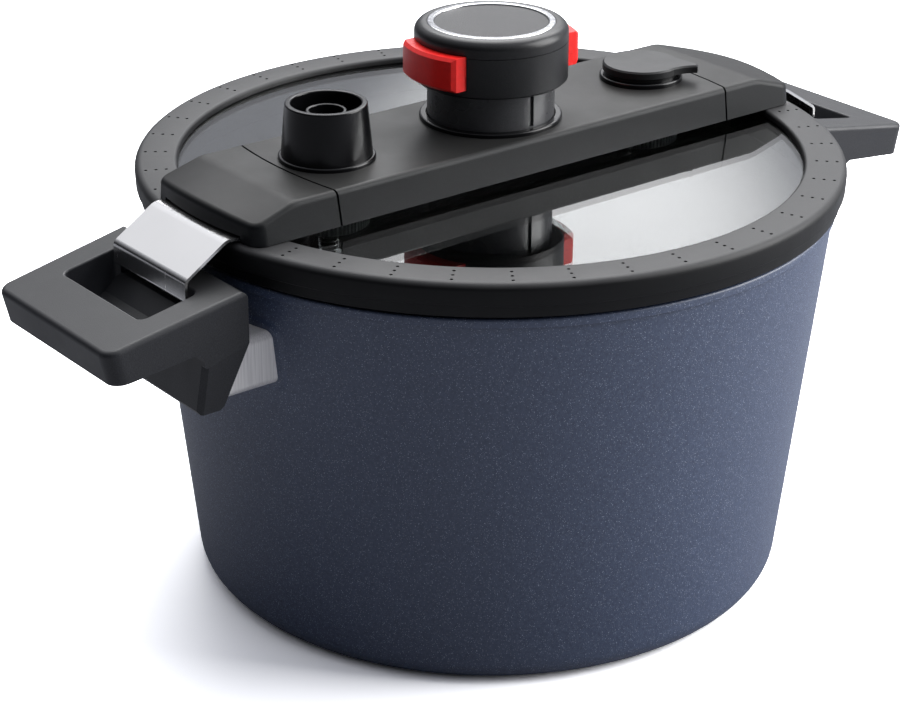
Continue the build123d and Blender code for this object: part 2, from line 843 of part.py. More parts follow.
button_spring_right = coil((7.9, 0, spring_axis_z), (1, 0, 0), 1.3, 0.25, 5.7, 4)
save_pair(button_spring_right, "button_spring")

# ---------------------------------------------------------------- clamps, cam arms and rivets
slider_mid = slider_low + clamp_thickness / 2
with BuildPart() as clamp:
    with BuildLine(Plane.XZ):
        clamp_line = FilletPolyline(
            (103.0, slider_mid),
            (108.0, slider_mid),
            (112.5, bridge_low + 0.75),
            (121.0, bridge_low + 0.75),
            (127.6, bridge_low + 1.8),
            (lip_x, bridge_low - 8.8),
            (lip_x, lip_low - 0.2),
            (hook_reach_x - 0.5, lip_low - 0.2),
            radius=[2.5, 2.5, 9.0, 5.5, 2.4, 0.9],
        )
    with BuildSketch(Plane(origin=clamp_line @ 0, x_dir=(0, 1, 0), z_dir=clamp_line % 0)):
        Rectangle(2 * clamp_half, clamp_thickness)
    sweep()
    with BuildSketch(Plane.XY.offset(slider_low)):
        with BuildLine():
            Polyline(
                (104.0, -slider_half),
                (104.0, slider_half),
                (30.0, slider_half),
                (26.0, 7.5),
                (slider_end_x, 7.5),
                (slider_end_x, -7.5),
                (26.0, -7.5),
                (30.0, -slider_half),
                close=True,
            )
        make_face()
        # slot round the valve stem, long enough for the clamp's travel
        with Locations((valve_x + 1.3, 0)):
            SlotCenterToCenter(clamp_travel + 1.4, 2 * (stem_thread_radius + 0.8), mode=Mode.SUBTRACT)
        with Locations(*rivet_spots):
            Circle(rivet_radius, mode=Mode.SUBTRACT)
    extrude(amount=clamp_thickness)
save_pair(clamp, "clamp")

arm_foot_low = slider_low + clamp_thickness
with BuildPart() as cam_arm:
    with BuildSketch(Plane.XZ):
        Polygon(
            (arm_foot_x - arm_thickness / 2, arm_foot_low),
            (21.6, arm_foot_low),
            (21.6, arm_foot_low + foot_thickness),
            (arm_foot_x + arm_thickness / 2, arm_foot_low + foot_thickness),
            (arm_foot_x - cam_slope * (arm_top - seat_top) + arm_thickness / 2, arm_top),
            (arm_foot_x - cam_slope * (arm_top - seat_top) - arm_thickness / 2, arm_top),
            align=None,
        )
    extrude(amount=arm_half, both=True)
    with BuildSketch(Plane.XY.offset(arm_foot_low)):
        with Locations(*rivet_spots):
            Circle(rivet_radius)
    extrude(amount=foot_thickness, mode=Mode.SUBTRACT)
save_pair(cam_arm, "cam_arm")

with BuildPart() as cam_rivets:
    with BuildSketch(Plane.XY.offset(slider_low)):
        with Locations(*rivet_spots):
            Circle(rivet_radius - 0.05)
    extrude(amount=clamp_thickness + foot_thickness)
    with BuildSketch(Plane.XY.offset(arm_foot_low + foot_thickness)):
        with Locations(*rivet_spots):
            Circle(1.7)
    extrude(amount=0.8)
save_pair(cam_rivets, "cam_rivets")

# ---------------------------------------------------------------- clamping sets of both valve stems
for stem_name, stem_x in (("regulator", -valve_x), ("vent", lever_axis_x)):
    with BuildPart() as stem_nut:
        with BuildSketch(Plane.XY.offset(nut_low)):
            with Locations((stem_x, 0)):
                Circle(nut_radius)
                Circle(stem_thread_radius + 0.05, mode=Mode.SUBTRACT)
                with PolarLocations(nut_radius + 0.25, 48):
                    Circle(0.7, mode=Mode.SUBTRACT)
        extrude(amount=nut_top - nut_low)
    save(stem_nut, f"{stem_name}_nut")

    with BuildPart() as stem_gasket:
        with BuildSketch(Plane.XY.offset(nut_top)):
            with Locations((stem_x, 0)):
                Circle(gasket_radius)
                Circle(stem_thread_radius + 0.1, mode=Mode.SUBTRACT)
        extrude(amount=glass_bottom - nut_top)
    save(stem_gasket, f"{stem_name}_gasket")

    with BuildPart() as stem_spacer:
        with BuildSketch(Plane.XY.offset(glass_top)):
            with Locations((stem_x, 0)):
                Circle(gasket_radius)
                Circle(stem_thread_radius + 0.1, mode=Mode.SUBTRACT)
        extrude(amount=bridge_low - glass_top)
    save(stem_spacer, f"{stem_name}_spacer")

# ---------------------------------------------------------------- pressure regulator
with BuildPart() as regulator_base_ring:
    with BuildSketch(Plane.XY.offset(bridge_top)):
        with Locations((-valve_x, 0)):
            Circle(regulator_ring_radius)
            Circle(stem_thread_radius + 0.1, mode=Mode.SUBTRACT)
    extrude(amount=cup_low - bridge_top)
    ring_edges = regulator_base_ring.edges().group_by(Axis.Z)[-1]
    fillet(ring_edges.sort_by(SortBy.LENGTH)[-1], radius=0.7)
save(regulator_base_ring, "regulator_base_ring")

with BuildPart() as regulator_cup:
    with BuildSketch(Plane.XZ) as cup_section:
        with BuildLine():
            Polyline(
                (rod_bore, stem_low),
                (stem_thread_radius, stem_low),
                (stem_thread_radius, cup_low),
                (cup_low_radius, cup_low),
                (cup_top_radius, cup_top),
                (cup_opening_radius, cup_top),
                (cup_opening_radius + 0.6, cup_floor),
                (rod_bore, cup_floor),
                close=True,
            )
        make_face()
        for lip_radius in (cup_top_radius, cup_opening_radius):
            lip = cup_section.vertices().sort_by_distance((lip_radius, cup_top, 0))[0]
            fillet(lip, radius=0.6)
    revolve(axis=Axis.Z)
with BuildPart() as regulator_cup_placed:
    with Locations((-valve_x, 0, 0)):
        add(regulator_cup.part)
save(regulator_cup_placed, "regulator_cup")

with BuildPart() as indicator_piston:
    with BuildSketch(Plane.XZ) as piston_section:
        with BuildLine():
            Polyline(
                (0, rod_low),
                (rod_radius, rod_low),
                (rod_radius, cup_floor + 0.3),
                (piston_radius, cup_floor + 0.3),
                (piston_radius, piston_top),
                (piston_bore, piston_top),
                (piston_bore, piston_top - 7.0),
                (0, piston_top - 7.0),
                close=True,
            )
        make_face()
        for rim_radius in (piston_radius, piston_bore):
            rim = piston_section.vertices().sort_by_distance((rim_radius, piston_top, 0))[0]
            fillet(rim, radius=0.4)
    revolve(axis=Axis.Z)
with BuildPart() as indicator_piston_placed:
    with Locations((-valve_x, 0, 0)):
        add(indicator_piston.part)
save(indicator_piston_placed, "indicator_piston")

with BuildPart() as indicator_clip:
    with BuildSketch(Plane.XY.offset(rod_low + 1.0)):
        with Locations((-valve_x, 0)):
            Circle(4.6)
            Circle(rod_radius + 0.02, mode=Mode.SUBTRACT)
    extrude(amount=0.8)
save(indicator_clip, "indicator_clip")

clip_top = rod_low + 1.8
indicator_spring = coil(
    (-valve_x, 0, clip_top + 0.05), (0, 0, 1), 3.4, 0.3, stem_low - clip_top - 0.1, 6
)
save(indicator_spring, "indicator_spring")

# ---------------------------------------------------------------- steam vent and its lever
with BuildPart() as vent_body:
    with BuildSketch(Plane.XZ) as vent_section:
        with BuildLine():
            Polyline(
                (spindle_radius + 0.05, stem_low),
                (stem_thread_radius, stem_low),
                (stem_thread_radius, bridge_top),
                (vent_ring_radius, bridge_top),
                (vent_ring_radius, bridge_top + vent_ring_height),
                (vent_hub_radius, bridge_top + vent_ring_height),
                (vent_hub_radius, lever_low - 0.3),
                (spindle_radius + 0.05, lever_low - 0.3),
                close=True,
            )
        make_face()
        ring_corner = vent_section.vertices().sort_by_distance(
            (vent_ring_radius, bridge_top + vent_ring_height, 0)
        )[0]
        fillet(ring_corner, radius=0.7)
    revolve(axis=Axis.Z)
with BuildPart() as vent_body_placed:
    with Locations((lever_axis_x, 0, 0)):
        add(vent_body.part)
save(vent_body_placed, "vent_body")

with BuildPart() as vent_lever:
    lever_heading = Vector(1, 0, 0).rotate(Axis.Z, lever_rest_angle)
    lever_plane = Plane(origin=(lever_axis_x, 0, lever_low), x_dir=lever_heading, z_dir=(0, 0, 1))
    with BuildSketch(lever_plane):
        Circle(lever_radius)
        with BuildLine():
            far_flank = Line((4.0, lever_radius * 0.95), (lever_tip, 1.3))
            tip_end = Line(far_flank @ 1, (lever_tip, -1.1))
            near_flank = Spline(
                tip_end @ 1,
                (17.4, -2.6),
                (13.6, -5.6),
                (9.4, -lever_radius * 0.72),
            )
            Polyline(near_flank @ 1, (0, 0), (4.0, lever_radius * 0.95))
        make_face()
    extrude(amount=lever_top - lever_low)
    top_rim = vent_lever.faces().sort_by(Axis.Z)[-1].outer_wire().edges()
    chamfer(top_rim, length=0.6)
save(vent_lever, "vent_lever")

with BuildPart() as vent_spindle:
    with BuildSketch(Plane.XY.offset(stem_low - 0.4)):
        with Locations((lever_axis_x, 0)):
            Circle(spindle_radius)
    extrude(amount=lever_low - stem_low + 0.4)
    with BuildSketch(Plane.XY.offset(stem_low - 0.4)):
        with Locations((lever_axis_x, 0)):
            Circle(1.3)
    extrude(amount=10, mode=Mode.SUBTRACT)
save(vent_spindle, "vent_spindle")

with BuildPart() as vent_valve_disc:
    with BuildSketch(Plane.XY.offset(stem_low - 1.6)):
        with Locations((lever_axis_x, 0)):
            Circle(6.4)
            Circle(1.4, mode=Mode.SUBTRACT)
        with Locations((lever_axis_x + 4.6, 0)):
            Circle(1.0, mode=Mode.SUBTRACT)
    extrude(amount=1.2)
save(vent_valve_disc, "vent_valve_disc")

with BuildPart() as lever_screw:
    with BuildSketch(Plane.XY.offset(stem_low - 3.2)):
        with Locations((lever_axis_x, 0)):
            Circle(2.6)
    extrude(amount=1.6)
    with BuildSketch(Plane.XY.offset(stem_low - 1.6)):
        with Locations((lever_axis_x, 0)):
            Circle(1.25)
    extrude(amount=8)
    with BuildSketch(Plane.XY.offset(stem_low - 3.2)):
        with Locations((lever_axis_x, 0)):
            RegularPolygon(radius=1.3, side_count=6)
    extrude(amount=1.0, mode=Mode.SUBTRACT)
save(lever_screw, "lever_screw")
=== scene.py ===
import math

import bmesh
import bpy
import numpy as np
from mathutils import Matrix, Vector


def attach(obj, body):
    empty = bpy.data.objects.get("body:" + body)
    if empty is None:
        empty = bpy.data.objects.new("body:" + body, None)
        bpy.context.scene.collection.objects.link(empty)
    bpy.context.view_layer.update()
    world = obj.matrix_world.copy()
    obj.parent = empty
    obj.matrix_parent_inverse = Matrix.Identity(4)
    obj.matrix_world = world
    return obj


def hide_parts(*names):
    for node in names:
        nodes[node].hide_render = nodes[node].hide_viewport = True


# A low-pressure canning pot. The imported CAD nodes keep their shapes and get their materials, and
# the pot, the rim seal and the two nuts under the glass are replaced by finer pieces. Shapes are in
# millimetres and turned into metres as each mesh is made. +X runs along the bridge, and the
# photographed side is -Y.
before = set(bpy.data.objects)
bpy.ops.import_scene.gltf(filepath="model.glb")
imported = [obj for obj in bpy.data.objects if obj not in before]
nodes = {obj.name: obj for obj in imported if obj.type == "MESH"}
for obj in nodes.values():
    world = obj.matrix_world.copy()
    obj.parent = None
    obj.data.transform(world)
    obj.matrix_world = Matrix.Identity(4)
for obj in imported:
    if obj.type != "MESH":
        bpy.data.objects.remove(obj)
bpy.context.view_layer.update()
MM = 0.001

# ------------------------------------------------------------------ sizes, in millimetres
POT_HEIGHT = 145.4
POT_BASE_RADIUS = 109.5
POT_TAPER = 0.1023
POT_WALL = 4.2
POT_FLOOR = 8.0
POT_INNER_CORNER = 14.0
POT_FOOT_RADIUS = 10.0
BAND_LOW = 141.9
BAND_RADIUS = 125.0
BAND_STEP = 0.4
BASE_DISC_RADIUS = 92.0
BASE_DISC_DEPTH = 2.0
GLASS_TOP = 156.2
GLASS_RADIUS = 115.5
GLASS_LOW = 152.2
STEM_LEFT_X = -72.0
STEM_RIGHT_X = 72.5
STEM_RADIUS = 5.0
STEM_CLEARANCE = 0.05

# The cast pad that stands out of the pot's wall round each ferrule.
PAD_HALF_WIDTH = 36.2
PAD_HALF_HEIGHT = 12.6
PAD_CENTRE = 120.05
PAD_CORNER = 6.0
PAD_HEIGHT = 0.8
PAD_EDGE = 0.9
PAD_LOW = 98.0
PAD_TOP = 140.0
PAD_SPREAD = 21.0  # degrees to each side of the bridge's line, wider than the pad

SEAL_TOP = 158.7
SEAL_RADIUS = 128.0
SEAL_INNER = 112.3
SEAL_SKIRT_LOW = 139.5
HOLE_ROWS = 40
HOLE_TURN = 0.5  # degrees
HOLE_CIRCLES = (117.0, 120.6, 124.2)
HOLE_RADIUS = 0.6
HOLE_SIDES = 12
HOLE_FLOOR = 157.6
PIN_TOP = 160.0

NUT_RIBS = 60
NUT_RADIUS = 14.3
NUT_CHAMFER = 0.5
NUT_LOW = 144.3
NUT_TOP = 150.6
RIB_CREST = 0.2
RIB_GROOVE = 0.25

BUTTON_ROUNDING = 0.9


# ------------------------------------------------------------------ mesh helpers
def arc(centre, radius, start, end, steps):
    """Points on a circle from one angle to another, in degrees."""
    angles = np.radians(np.linspace(start, end, steps + 1))
    return [(centre[0] + radius * math.cos(a), centre[1] + radius * math.sin(a)) for a in angles]


def rounded(points, radii, steps=6, closed=True):
    """An outline with its corners turned into arcs. A radius of 0 keeps a corner sharp."""
    made = []
    count = len(points)
    for i, (point, radius) in enumerate(zip(points, radii)):
        here = Vector(point)
        if radius <= 0 or (not closed and i in (0, count - 1)):
            made.append(tuple(here))
            continue
        back = (Vector(points[i - 1]) - here).normalized()
        ahead = (Vector(points[(i + 1) % count]) - here).normalized()
        half = back.angle(ahead) / 2
        reach = radius / math.tan(half)
        centre = here + (back + ahead).normalized() * radius / math.sin(half)
        first = here + back * reach - centre
        last = here + ahead * reach - centre
        turn = first.angle_signed(last)
        for k in range(steps + 1):
            spoke = first.copy()
            spoke.rotate(Matrix.Rotation(-turn * k / steps, 2))
            made.append(tuple(centre + spoke))
    return made


def put_in_scene(name, data):
    """A new object that carries this mesh, lamp or camera."""
    made = bpy.data.objects.new(name, data)
    bpy.context.scene.collection.objects.link(made)
    return made


def new_piece(name, verts, faces, sharp_angle=35.0):
    """A mesh object from points in millimetres, shaded smooth except across sharp edges."""
    mesh = bpy.data.meshes.new(name)
    mesh.from_pydata([tuple(c * MM for c in v) for v in verts], [], faces)
    piece = put_in_scene(name, mesh)
    work = bmesh.new()
    work.from_mesh(mesh)
    bmesh.ops.remove_doubles(work, verts=work.verts, dist=1e-7)
    bmesh.ops.recalc_face_normals(work, faces=work.faces)
    work.to_mesh(mesh)
    work.free()
    smooth(piece, sharp_angle)
    return piece


def smooth(piece, sharp_angle=35.0):
    """Shades a piece smooth, and keeps the edges that turn more than this angle sharp."""
    piece.data.shade_smooth()
    piece.data.set_sharp_from_angle(angle=math.radians(sharp_angle))


def revolve(name, profile, turns=None, closed=True, shift=None):
    """Turns a profile of (radius, height) points about the Z axis, at these turns in degrees."""
    turns = turns if turns is not None else [360 * k / 192 for k in range(192)]
    verts, faces = [], []
    size = len(profile)
    for turn in turns:
        a = math.radians(turn)
        for radius, height in profile:
            out = radius + (shift(turn, radius, height) if shift else 0.0)
            verts.append((out * math.cos(a), out * math.sin(a), height))
    spans = size if closed else size - 1
    for i in range(len(turns)):
        j = (i + 1) % len(turns)
        for k in range(spans):
            m = (k + 1) % size
            faces.append([i * size + k, j * size + k, j * size + m, i * size + m])
    return new_piece(name, verts, faces)


def apply_modifiers(piece):
    """Puts what the modifiers make in the mesh itself, and takes the modifiers off."""
    graph = bpy.context.evaluated_depsgraph_get()
    made = bpy.data.meshes.new_from_object(piece.evaluated_get(graph))
    piece.modifiers.clear()
    piece.data = made


# ------------------------------------------------------------------ materials
class Shader:
    """A Principled material with short calls for the textures that feed it."""

    def __init__(self, name, colour, roughness, metallic=0.0, **sockets):
        self.material = bpy.data.materials.new(name)
        self.material.use_nodes = True
        self.nodes = self.material.node_tree.nodes
        self.links = self.material.node_tree.links
        self.bsdf = self.nodes["Principled BSDF"]
        self.set("Base Color", (*colour, 1.0))
        self.set("Roughness", roughness)
        self.set("Metallic", metallic)
        for socket, value in sockets.items():
            self.set(socket.replace("_", " "), value)
        self.place = self.nodes.new("ShaderNodeTexCoord").outputs["Object"]

    def set(self, socket, value):
        self.bsdf.inputs[socket].default_value = value

    def feed(self, socket, source):
        self.links.new(source, self.bsdf.inputs[socket])

    def stretched(self, scale):
        """The piece's own coordinates, in metres, times a scale of its own along each axis."""
        mapping = self.nodes.new("ShaderNodeMapping")
        mapping.inputs["Scale"].default_value = scale
        self.links.new(self.place, mapping.inputs["Vector"])
        return mapping.outputs["Vector"]

    def noise(self, scale, detail=2.0, roughness=0.5, stretch=None):
        node = self.nodes.new("ShaderNodeTexNoise")
        node.inputs["Scale"].default_value = scale
        node.inputs["Detail"].default_value = detail
        node.inputs["Roughness"].default_value = roughness
        self.links.new(self.stretched(stretch) if stretch else self.place, node.inputs["Vector"])
        return node.outputs["Fac"]

    def cells(self, scale):
        """The distance to the nearest of many scattered points."""
        node = self.nodes.new("ShaderNodeTexVoronoi")
        node.inputs["Scale"].default_value = scale
        self.links.new(self.place, node.inputs["Vector"])
        return node.outputs["Distance"]

    def spread(self, source, low, high, to_low=0.0, to_high=1.0):
        """Maps the range from low to high on to another one, and holds it there outside."""
        node = self.nodes.new("ShaderNodeMapRange")
        node.inputs["From Min"].default_value = low
        node.inputs["From Max"].default_value = high
        node.inputs["To Min"].default_value = to_low
        node.inputs["To Max"].default_value = to_high
        self.links.new(source, node.inputs["Value"])
        return node.outputs["Result"]

    def blend(self, factor, first, second):
        node = self.nodes.new("ShaderNodeMix")
        node.data_type = "RGBA"
        self.links.new(factor, node.inputs["Factor"])
        colours = [s for s in node.inputs if s.type == "RGBA"]
        for socket, value in zip(colours, (first, second)):
            if isinstance(value, tuple):
                socket.default_value = (*value, 1.0)
            else:
                self.links.new(value, socket)
        return [s for s in node.outputs if s.type == "RGBA"][0]

    def sum(self, first, second, weight):
        """The first value plus the second one times a weight."""
        node = self.nodes.new("ShaderNodeMath")
        node.operation = "MULTIPLY_ADD"
        self.links.new(second, node.inputs[0])
        node.inputs[1].default_value = weight
        self.links.new(first, node.inputs[2])
        return node.outputs["Value"]

    def facing_up(self, low, high):
        """How far a face looks upward, by the shape of the piece alone."""
        split = self.nodes.new("ShaderNodeSeparateXYZ")
        normal = self.nodes.new("ShaderNodeTexCoord").outputs["Normal"]
        self.links.new(normal, split.inputs["Vector"])
        return self.spread(split.outputs["Z"], low, high)

    def product(self, first, second):
        node = self.nodes.new("ShaderNodeMath")
        node.operation = "MULTIPLY"
        self.links.new(first, node.inputs[0])
        self.links.new(second, node.inputs[1])
        return node.outputs["Value"]

    def bump(self, height, distance):
        """Raises and sinks the surface by up to this distance, in metres."""
        node = self.nodes.new("ShaderNodeBump")
        node.inputs["Strength"].default_value = 1.0
        node.inputs["Distance"].default_value = distance
        self.links.new(height, node.inputs["Height"])
        self.feed("Normal", node.outputs["Normal"])


def moulded_plastic(name, colour, roughness, grain=0.00004, gleam=0.34, top=None):
    """Dark moulded plastic with a fine grain. A colour given as top is painted top light on faces
    that look up.
    """
    made = Shader(name, colour, roughness, Specular_IOR_Level=gleam)
    wide = made.noise(55, 3)
    fine = made.noise(2600, 2)
    lighter = tuple(c * 1.6 + 0.002 for c in colour)
    ground = made.blend(made.spread(fine, 0.35, 0.75), colour, lighter)
    # Painted top light: faces that look up blend towards the top colour.
    if top:
        ground = made.blend(made.facing_up(0.5, 0.98), ground, top)
    made.feed("Base Color", ground)
    made.feed("Roughness", made.spread(wide, 0.3, 0.7, roughness - 0.04, roughness + 0.05))
    made.bump(fine, grain)
    return made.material


def brushed_metal(name, colour, roughness, stretch, depth, shade=0.78, metal=1.0):
    """Brushed steel. stretch is small along the grain, and shade is how dark the hairs get."""
    made = Shader(name, colour, roughness, metallic=metal)
    hairs = made.noise(1.0, 3, 0.6, stretch)
    wide = made.noise(40, 2)
    darker = tuple(c * shade for c in colour)
    made.feed("Base Color", made.blend(made.spread(hairs, 0.3, 0.7), darker, colour))
    uneven = made.sum(hairs, wide, 0.5)
    made.feed("Roughness", made.spread(uneven, 0.4, 1.1, roughness - 0.06, roughness + 0.1))
    made.bump(hairs, depth)
    return made.material


def pot_coating():
    """Navy non-stick coating full of fine light flecks, slightly rough to the touch."""
    made = Shader("pot_coating", (0.045, 0.062, 0.12), 0.42, Specular_IOR_Level=0.85)
    mottle = made.noise(900, 3, 0.7)
    mottled = made.spread(mottle, 0.35, 0.65)
    ground = made.blend(mottled, (0.0255, 0.04, 0.085), (0.046, 0.068, 0.13))
    fleck = made.spread(made.cells(1900), 0.3, 0.12)
    pick = made.spread(made.noise(1500, 1), 0.42, 0.62)
    chosen = made.product(fleck, pick)
    made.feed("Base Color", made.blend(chosen, ground, (0.46, 0.52, 0.64)))
    grain = made.noise(1500, 3, 0.65)
    made.feed("Roughness", made.spread(grain, 0.3, 0.7, 0.4, 0.54))
    made.bump(grain, 0.00009)
    return made.material


def pot_lining():
    """Dark grey non-stick lining inside the pot."""
    made = Shader("pot_lining", (0.012, 0.012, 0.013), 0.45, Specular_IOR_Level=0.35)
    grain = made.noise(1200, 3, 0.65)
    shade = made.spread(grain, 0.35, 0.7)
    made.feed("Base Color", made.blend(shade, (0.008, 0.008, 0.009), (0.02, 0.02, 0.021)))
    made.feed("Roughness", made.spread(grain, 0.3, 0.7, 0.4, 0.52))
    made.bump(grain, 0.00006)
    return made.material


def silicone():
    """Black silicone. Faces that look up get a lighter grey as painted top light, and side faces
    near black as painted shade.
    """
    made = Shader("silicone", (0.02, 0.02, 0.0205), 0.5, Specular_IOR_Level=0.24)
    cloud = made.noise(70, 4, 0.6)
    fine = made.noise(3000, 2)
    # Painted light: a cloudy lighter grey on up-facing faces stands in for top light, and
    # near-black sides stand in for shade.
    painted_top_light = made.blend(made.spread(cloud, 0.3, 0.7), (0.037, 0.037, 0.038), (0.052, 0.052, 0.053))
    top_light_mask = made.facing_up(0.3, 0.95)
    made.feed("Base Color", made.blend(top_light_mask, (0.0022, 0.0024, 0.003), painted_top_light))
    made.feed("Roughness", made.spread(cloud, 0.3, 0.7, 0.44, 0.54))
    made.bump(fine, 0.00003)
    return made.material


def gloss(name, colour, roughness):
    """Smooth moulded plastic with a slight orange peel."""
    made = Shader(name, colour, roughness, Specular_IOR_Level=0.3)
    peel = made.noise(420, 2)
    wide = made.noise(90, 3)
    made.feed("Roughness", made.spread(wide, 0.3, 0.7, roughness - 0.03, roughness + 0.04))
    darker = tuple(c * 0.9 for c in colour)
    made.feed("Base Color", made.blend(made.spread(peel, 0.3, 0.7), darker, colour))
    made.bump(peel, 0.000012)
    return made.material


def clear_glass():
    """Clear glass with faint smears."""
    made = Shader("lid_glass", (0.93, 0.96, 0.96), 0.0, Transmission_Weight=1.0, IOR=1.5)
    smear = made.noise(30, 3)
    made.feed("Roughness", made.spread(smear, 0.4, 0.8, 0.0, 0.03))
    return made.material


def emblem_grain():
    """Grey disc with a coarse cast grain."""
    made = Shader("emblem_grain", (0.07, 0.07, 0.072), 0.5, metallic=0.1, Specular_IOR_Level=0.28)
    grain = made.noise(1500, 4, 0.7)
    shade = made.spread(grain, 0.35, 0.65)
    made.feed("Base Color", made.blend(shade, (0.023, 0.023, 0.024), (0.086, 0.086, 0.088)))
    made.feed("Roughness", made.spread(grain, 0.3, 0.7, 0.42, 0.62))
    made.bump(grain, 0.00016)
    return made.material


COATING = pot_coating()
LINING = pot_lining()
SILICONE = silicone()
# Painted top light: the bridge's top colour lightens its up-facing faces.
BRIDGE = moulded_plastic(
    "bridge_plastic", (0.0028, 0.0036, 0.0043), 0.43, gleam=0.19, top=(0.021, 0.021, 0.0205)
)
LEVER = moulded_plastic("lever_plastic", (0.007, 0.0072, 0.0075), 0.4, grain=0.00002)
COLUMN = moulded_plastic("column_plastic", (0.034, 0.0345, 0.037), 0.28, grain=0.00001, gleam=0.8)
# Painted top light: the handles' top colour lightens their up-facing faces.
HANDLE = moulded_plastic(
    "handle_plastic", (0.0175, 0.0183, 0.0212), 0.42, top=(0.032, 0.0325, 0.034)
)
KNOB = moulded_plastic("knob_plastic", (0.0105, 0.0108, 0.0116), 0.34, grain=0.00002)
NUT = moulded_plastic("nut_plastic", (0.11, 0.115, 0.12), 0.4, grain=0.00001, gleam=0.5)
CUP = gloss("cup_gloss", (0.003, 0.003, 0.0035), 0.2)
RED = gloss("red_plastic", (0.9, 0.02, 0.017), 0.3)
CLIP = brushed_metal("clip_steel", (0.72, 0.715, 0.71), 0.2, (90, 1400, 90), 0.0000006, shade=0.93)
FERRULE = brushed_metal(
    "ferrule_steel", (1.0, 0.98, 0.97), 0.34, (2200, 2200, 30), 0.00001, shade=0.74, metal=0.25
)
BASE = brushed_metal("induction_steel", (0.6, 0.6, 0.61), 0.34, (900, 900, 900), 0.00001)
SCREW = brushed_metal("screw_steel", (0.12, 0.12, 0.125), 0.35, (1200, 1200, 1200), 0.000008)
SPRING = brushed_metal("spring_steel", (0.55, 0.55, 0.56), 0.22, (1500, 1500, 1500), 0.000005)
CHROME = brushed_metal("trim_chrome", (0.86, 0.86, 0.87), 0.09, (300, 300, 300), 0.000002)
EMBLEM = emblem_grain()
GLASS = clear_glass()


def dress(piece, material, body=None, replaced=()):
    """Gives a piece its material, and a new piece its body and the nodes it replaces."""
    piece.data.materials.clear()
    piece.data.materials.append(material)
    if body:
        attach(piece, body)
    if replaced:
        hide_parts(*replaced)


# ------------------------------------------------------------------ carried-over CAD nodes
finishes = {
    BRIDGE: ("bridge_cover", "end_cap_left", "end_cap_right"),
    HANDLE: ("side_handle_left", "side_handle_right"),
    COLUMN: ("knob_column",),
    KNOB: ("knob_head", "knob_cap", "knob_plunger", "return_spring_seat"),
    CUP: (
        "column_collar", "regulator_base_ring", "regulator_cup", "indicator_piston", "vent_body",
    ),
    LEVER: ("vent_lever",),
    RED: ("release_button_left", "release_button_right"),
    CLIP: ("clamp_left", "clamp_right", "cam_arm_left", "cam_arm_right", "bridge_base"),
    FERRULE: (
        "handle_ferrule_left", "handle_ferrule_right", "handle_bracket_left",
        "handle_bracket_right",
    ),
    BASE: ("induction_base",),
    SCREW: (
        "handle_screws", "handle_washers", "bridge_screws", "end_cap_screws", "column_screws",
        "knob_screws", "cam_rivets_left", "cam_rivets_right", "indicator_clip", "lever_screw",
        "vent_spindle",
    ),
    SPRING: ("knob_return_spring", "button_spring_left", "button_spring_right", "indicator_spring"),
    CHROME: ("trim_ring",),
    EMBLEM: ("emblem_disc",),
    GLASS: ("lid_glass",),
    SILICONE: (
        "regulator_gasket", "vent_gasket", "regulator_spacer", "vent_spacer", "vent_valve_disc",
    ),
}
for material, names in finishes.items():
    for node_name in names:
        dress(nodes[node_name], material)
for node_name in ("release_button_left", "release_button_right"):
    rounding = nodes[node_name].modifiers.new("rounding", "BEVEL")
    rounding.width = BUTTON_ROUNDING * MM
    rounding.segments = 4
    rounding.limit_method = "ANGLE"
    rounding.angle_limit = math.radians(28)
    rounding.harden_normals = True


# ------------------------------------------------------------------ pot
def pot_outer(height):
    """The radius of the pot's outside at a height."""
    return POT_BASE_RADIUS + POT_TAPER * height


def pad_height(turn, radius, height):
    """How far the cast pad round a ferrule stands out of the pot's wall."""
    if radius < pot_outer(height) - 0.5 or not PAD_LOW < height < PAD_TOP:
        return 0.0
    across = abs(math.sin(math.radians(turn))) * radius
    dx = across - (PAD_HALF_WIDTH - PAD_CORNER)
    dz = abs(height - PAD_CENTRE) - (PAD_HALF_HEIGHT - PAD_CORNER)
    outside = math.hypot(max(dx, 0), max(dz, 0)) + min(max(dx, dz), 0) - PAD_CORNER
    t = min(max((PAD_EDGE - outside) / (2 * PAD_EDGE), 0.0), 1.0)
    return PAD_HEIGHT * t * t * (3 - 2 * t)


def pot_profile():
    """Half the pot's section, from the inner floor over the rim and down to the recess below it."""
    inner_low = pot_outer(POT_FLOOR) - POT_WALL
    inner_top = pot_outer(POT_HEIGHT) - POT_WALL
    rim = rounded(
        [(0, POT_FLOOR), (inner_low, POT_FLOOR), (inner_top, POT_HEIGHT), (BAND_RADIUS, POT_HEIGHT),
         (BAND_RADIUS, BAND_LOW + BAND_STEP), (pot_outer(BAND_LOW), BAND_LOW)],
        [0, POT_INNER_CORNER, 0.8, 0.9, 0.5, 0], 8, closed=False,
    )
    # The wall's rings lie close together where the pads are.
    heights = np.concatenate([[138.0], np.arange(136.0, 103.0, -0.6), [95.0]])
    wall = [(pot_outer(h), h) for h in heights]
    foot = rounded(
        [(pot_outer(80), 80), (POT_BASE_RADIUS, 0), (BASE_DISC_RADIUS, 0),
         (BASE_DISC_RADIUS, BASE_DISC_DEPTH), (0, BASE_DISC_DEPTH)],
        [0, POT_FOOT_RADIUS, 0.4, 0, 0], 10, closed=False,
    )
    return rim + wall + foot


